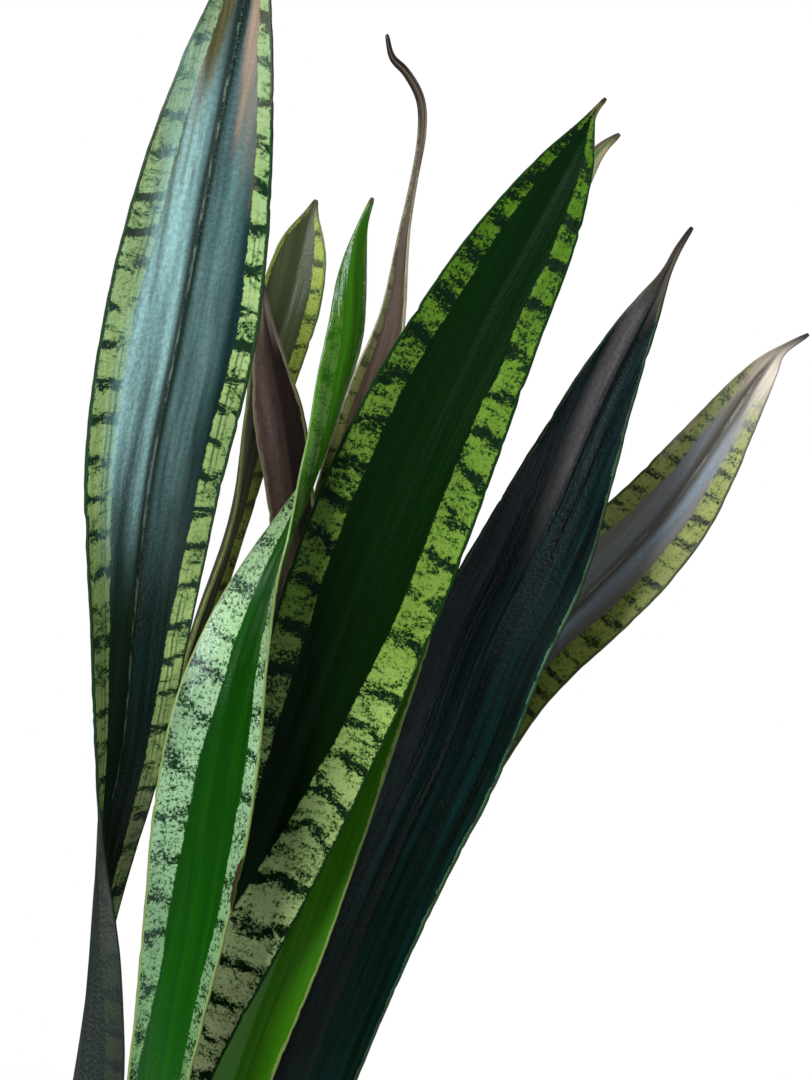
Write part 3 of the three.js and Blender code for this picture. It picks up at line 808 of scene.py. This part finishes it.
# Terracotta: red clay thrown on a wheel and fired without glaze, so it is matt and grainy, a little uneven
# in colour, with pale salts where water has dried.
def terracotta():
    material, tree = newMaterial("terracotta")
    place = addNode(tree, "TexCoord").outputs["Object"]
    height = addNode(tree, "SeparateXYZ", {0: place}).outputs["Z"]
    patches = addNode(tree, "TexNoise", {"Vector": place, "Scale": clayPot["patchesPerMetre"],
                                         "Detail": 5.0, "Roughness": 0.6})
    grit = addNode(tree, "TexNoise", {"Vector": place, "Scale": clayPot["gritPerMetre"],
                                      "Detail": 3.0, "Roughness": 0.7})
    clay = addNode(tree, "Mix", {"Factor": patches, "A": linearColour(clayPot["clay"][0]),
                                 "B": linearColour(clayPot["clay"][1])}, data_type="RGBA")
    grains = addNode(tree, "MapRange", {"Value": grit, **clayPot["gritCut"]})
    clay = addNode(tree, "Mix", {"Factor": grains, "A": clay, "B": linearColour(clayPot["grit"])},
                   data_type="RGBA")
    low = addNode(tree, "MapRange", {"Value": height, **clayPot["saltsLow"]})
    level = addNode(tree, "Math", {0: patches, 1: low}, operation="ADD")
    salts = addNode(tree, "MapRange", {"Value": level, **clayPot["saltsCut"]})
    clay = addNode(tree, "Mix", {"Factor": salts, "A": clay, "B": linearColour(clayPot["salts"])},
                   data_type="RGBA")
    bump = addNode(tree, "Bump", {"Height": grit, **clayPot["bump"]})
    shader = addNode(tree, "BsdfPrincipled", {"Base Color": clay, "Normal": bump, **clayPot["finish"]})
    addNode(tree, "OutputMaterial", {"Surface": shader})
    return material


pot.data.materials.append(terracotta())
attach(pot, "root")
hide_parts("pot")
print("pot turned:", len(pot.data.polygons), "faces")


mix = {
    "steps": 220, "rings": 64,
    "lumps": 0.0022, "lumpSize": 0.011,
    "crumbs": 0.0008, "crumbSize": 0.0032,
    # falloff, step between octaves, octaves
    "lumpNoise": (0.8, 2.0, 3), "crumbNoise": (0.7, 2.1, 3),
    # Patterns to the metre: crumbs of 2.4 mm, damp patches of 33 mm, and grain on the chips of 1.4 mm, which
    # is drawn coarse enough to show.
    "crumbsPerMetre": 420.0, "dampPerMetre": 30.0, "grainPerMetre": 700.0,
    "chips": 420, "chipSize": (0.0016, 0.0052),
    "chipSeed": 41, "edgeGap": 0.005,
    "perliteShare": 0.22,
    "perliteStretch": (1, 1, 1), "barkStretch": (1.7, 1, 0.5),
    "perliteTone": (0.7, 1.0), "barkTone": (0.0, 0.4),
    "chipTilt": 0.5,           # radians either way
    "chipRough": (0.75, 1.2),
    "chipLift": 0.2,           # of its size, out of the mix
    "peat": ("#150d08", "#4c3424"),
    "chipTones": ((0.4, "#7a5232"), (0.66, "#c8c0b0")), "chipEnds": ("#2c1a10", "#e4e0d6"),
    "wet": {1: 0.35, 2: 0.65, 3: 0.6, 4: 1.1},
    "peatBump": {"Strength": 0.8, "Distance": 0.001},
    "peatFinish": {"Roughness": 0.95, "Specular IOR Level": 0.3},
    "chipShade": {**noiseRange, 3: 0.65, 4: 1.1},
    "chipBump": {"Strength": 0.6, "Distance": 0.0006}, "chipFinish": {"Roughness": 0.9},
}
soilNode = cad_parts["soil"]
soilLow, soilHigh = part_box("soil")
soilRadius = max(math.hypot(v.co.x, v.co.y) for v in soilNode.data.vertices)
soilEdge = max(v.co.z for v in soilNode.data.vertices if math.hypot(v.co.x, v.co.y) > soilRadius - 1e-4)
mound = soilHigh[2] - soilEdge


def soilTop(x, y):
    distance = min(math.hypot(x, y) / soilRadius, 1)
    base = soilEdge + mound * (1 - distance ** 2)
    lump = noise.fractal(Vector((x, y, 0)) / mix["lumpSize"], *mix["lumpNoise"])
    crumb = noise.fractal(Vector((x, y, 0.05)) / mix["crumbSize"], *mix["crumbNoise"])
    return base + mix["lumps"] * lump + mix["crumbs"] * crumb - mix["lumps"]


footRadius = cavityFoot[0] - (innerRim[0] - soilRadius) / 4
soilOutline = [(0, soilLow[2]), (footRadius, soilLow[2]), (soilRadius, soilEdge)]
soilOutline += sloped(soilOutline[-1], (0, soilEdge), mix["rings"])
soil = spun("potting_mix", soilOutline, mix["steps"])
for vert in soil.data.vertices:
    if vert.co.z > soilEdge - 1e-5:
        vert.co.z = soilTop(vert.co.x, vert.co.y)
soil.data.update()
selectOnly(soil)
bpy.ops.object.shade_smooth()

# Bark chips and perlite, each a small rough stone with its own tone.
chipDice = random.Random(mix["chipSeed"])
bpy.ops.object.select_all(action="DESELECT")
bpy.ops.mesh.primitive_ico_sphere_add(subdivisions=1, radius=1)
seedChip = bpy.context.object
chipPoints = [v.co.copy() for v in seedChip.data.vertices]
chipFaces = [tuple(p.vertices) for p in seedChip.data.polygons]
bpy.data.objects.remove(seedChip)
allPoints, allFaces, tones = [], [], []
for _ in range(mix["chips"]):
    reach = (soilRadius - mix["edgeGap"]) * math.sqrt(chipDice.random())
    angle = chipDice.uniform(0, 2 * math.pi)
    x, y = reach * math.cos(angle), reach * math.sin(angle)
    size = chipDice.uniform(*mix["chipSize"]) / 2
    perlite = chipDice.random() < mix["perliteShare"]
    stretch = mix["perliteStretch"] if perlite else mix["barkStretch"]
    turn = Matrix.Rotation(chipDice.uniform(0, 6.28), 3, "Z")
    turn = turn @ Matrix.Rotation(chipDice.uniform(-mix["chipTilt"], mix["chipTilt"]), 3, "X")
    tone = chipDice.uniform(*(mix["perliteTone"] if perlite else mix["barkTone"]))
    start = len(allPoints)
    for point in chipPoints:
        rough = Vector(p * s * chipDice.uniform(*mix["chipRough"]) for p, s in zip(point, stretch))
        allPoints.append(turn @ rough * size + Vector((x, y, soilTop(x, y) + size * mix["chipLift"])))
    tones += [tone] * len(chipPoints)
    allFaces += [tuple(start + i for i in face) for face in chipFaces]
chips = objectFrom("mix_chips", allPoints, allFaces)
chips.data.attributes.new("tone", "FLOAT", "POINT").data.foreach_set("value", tones)


# Potting mix: damp peat with bark chips and perlite, so it is dark brown, crumbly and dull.
def pottingMix():
    material, tree = newMaterial("damp_potting_mix")
    place = addNode(tree, "TexCoord").outputs["Object"]
    crumbs = addNode(tree, "TexNoise", {"Vector": place, "Scale": mix["crumbsPerMetre"],
                                        "Detail": 6.0, "Roughness": 0.7})
    damp = addNode(tree, "TexNoise", {"Vector": place, "Scale": mix["dampPerMetre"], "Detail": 3.0})
    peat = addNode(tree, "Mix", {"Factor": crumbs, "A": linearColour(mix["peat"][0]),
                                 "B": linearColour(mix["peat"][1])}, data_type="RGBA")
    wet = addNode(tree, "MapRange", {"Value": damp, **mix["wet"]})
    peat = addNode(tree, "VectorMath", {0: peat, "Scale": wet}, operation="SCALE")
    bump = addNode(tree, "Bump", {"Height": crumbs, **mix["peatBump"]})
    shader = addNode(tree, "BsdfPrincipled", {"Base Color": peat, "Normal": bump, **mix["peatFinish"]})
    addNode(tree, "OutputMaterial", {"Surface": shader})
    return material


# Bark is brown and fibrous, and perlite is white puffed glass.
def barkAndPerlite():
    material, tree = newMaterial("bark_and_perlite")
    tone = addNode(tree, "Attribute", attribute_name="tone").outputs["Fac"]
    place = addNode(tree, "TexCoord").outputs["Object"]
    grain = addNode(tree, "TexNoise", {"Vector": place, "Scale": mix["grainPerMetre"],
                                       "Detail": 4.0, "Roughness": 0.7})
    ramp = addNode(tree, "ValToRGB", {"Fac": tone})
    for element, hexText in zip(ramp.color_ramp.elements, mix["chipEnds"]):
        element.color = linearColour(hexText)
    for position, hexText in mix["chipTones"]:
        ramp.color_ramp.elements.new(position).color = linearColour(hexText)
    shade = addNode(tree, "MapRange", {"Value": grain, **mix["chipShade"]})
    colour = addNode(tree, "VectorMath", {0: ramp, "Scale": shade}, operation="SCALE")
    bump = addNode(tree, "Bump", {"Height": grain, **mix["chipBump"]})
    shader = addNode(tree, "BsdfPrincipled", {"Base Color": colour, "Normal": bump, **mix["chipFinish"]})
    addNode(tree, "OutputMaterial", {"Surface": shader})
    return material


soil.data.materials.append(pottingMix())
chips.data.materials.append(barkAndPerlite())
for piece in (soil, chips):
    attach(piece, "root")
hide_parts("soil")
print("potting mix:", len(soil.data.polygons), "faces and", mix["chips"], "chips")


studio = {
    "floorRadius": 0.8, "floorSides": 96, "fadeFrom": 0.3, "fadeTo": 0.68,
    "floorColour": "#f4f4f2",
    "skyFill": 0.11,
    # name: width and height, power, colour, place, aim
    "lamps": {
        "key": ((0.8, 0.8), 33, "#fbfcff", (-0.8, -1.1, 1.5), (0.03, 0, 0.45)),
        "window": ((0.35, 1.0), 4, "#e2efff", (-1.12, -0.12, 0.95), (0, 0, 0.5)),
        "panel": ((0.4, 0.7), 2.6, "#dcecff", (0.6, -1.13, 0.24), (0, 0, 0.5)),
        "front": ((0.18, 0.5), 6, "#e4f1ff", (-0.48, -1.06, 0.77), (0, 0, 0.5)),
        "rim": ((0.8, 0.8), 20, "#ffffff", (0.95, 0.95, 1.2), (0.03, 0, 0.45)),
    },
}

bpy.ops.object.select_all(action="DESELECT")
bpy.ops.mesh.primitive_circle_add(vertices=studio["floorSides"], radius=studio["floorRadius"],
                                  fill_type="NGON")
floor = bpy.context.object
floor.name = "studio_floor"
paper, tree = newMaterial("white_paper")
spot = addNode(tree, "VectorMath", {0: addNode(tree, "TexCoord").outputs["Object"]}, operation="LENGTH")
fade = addNode(tree, "MapRange", {"Value": spot.outputs["Value"], 1: studio["fadeFrom"], 2: studio["fadeTo"]},
               interpolation_type="SMOOTHSTEP")
matt = addNode(tree, "BsdfDiffuse", {"Color": linearColour(studio["floorColour"])})
clear = addNode(tree, "BsdfTransparent")
addNode(tree, "OutputMaterial", {"Surface": addNode(tree, "MixShader", {0: fade, 1: matt, 2: clear})})
floor.data.materials.append(paper)

world = bpy.data.worlds.new("studio")
scene.world = world
world.use_nodes = True
tree = world.node_tree
tree.nodes.clear()
fill = addNode(tree, "Background", {"Color": linearColour("#ffffff"), "Strength": studio["skyFill"]})
backdrop = addNode(tree, "Background", {"Color": linearColour("#ffffff"), "Strength": 1.0})
seen = addNode(tree, "LightPath").outputs["Is Camera Ray"]
addNode(tree, "OutputWorld", {"Surface": addNode(tree, "MixShader", {0: seen, 1: fill, 2: backdrop})})

for lampName, (size, power, colour, lampPlace, aim) in studio["lamps"].items():
    lamp = bpy.data.lights.new(lampName, "AREA")
    lamp.shape = "RECTANGLE"
    lamp.size, lamp.size_y = size
    lamp.energy = power
    lamp.color = linearColour(colour)[:3]
    holder = bpy.data.objects.new(lampName, lamp)
    holder.location = lampPlace
    holder.rotation_euler = (Vector(aim) - Vector(lampPlace)).to_track_quat("-Z", "Y").to_euler()
    holder.visible_camera = False
    scene.collection.objects.link(holder)

# The camera looks at the leaves from the front, a little from above, tilted to one side.
view = {
    "aim": (0.047, 0, 0.4888),
    "distance": 1.0218,
    "lookDown": 8,
    "tilt": 10,
    "lens": 85,
}
lookDown = math.radians(view["lookDown"])
back = Vector((0, -math.cos(lookDown), math.sin(lookDown)))
camera = bpy.data.objects.new("camera", bpy.data.cameras.new("camera"))
camera.data.lens = view["lens"]
camera.matrix_world = (Matrix.Translation(Vector(view["aim"]) + back * view["distance"])
                       @ Matrix.Rotation(math.pi / 2 - lookDown, 4, "X")
                       @ Matrix.Rotation(math.radians(view["tilt"]), 4, "Z"))
scene.collection.objects.link(camera)
scene.camera = camera
scene.view_settings.view_transform = "Standard"
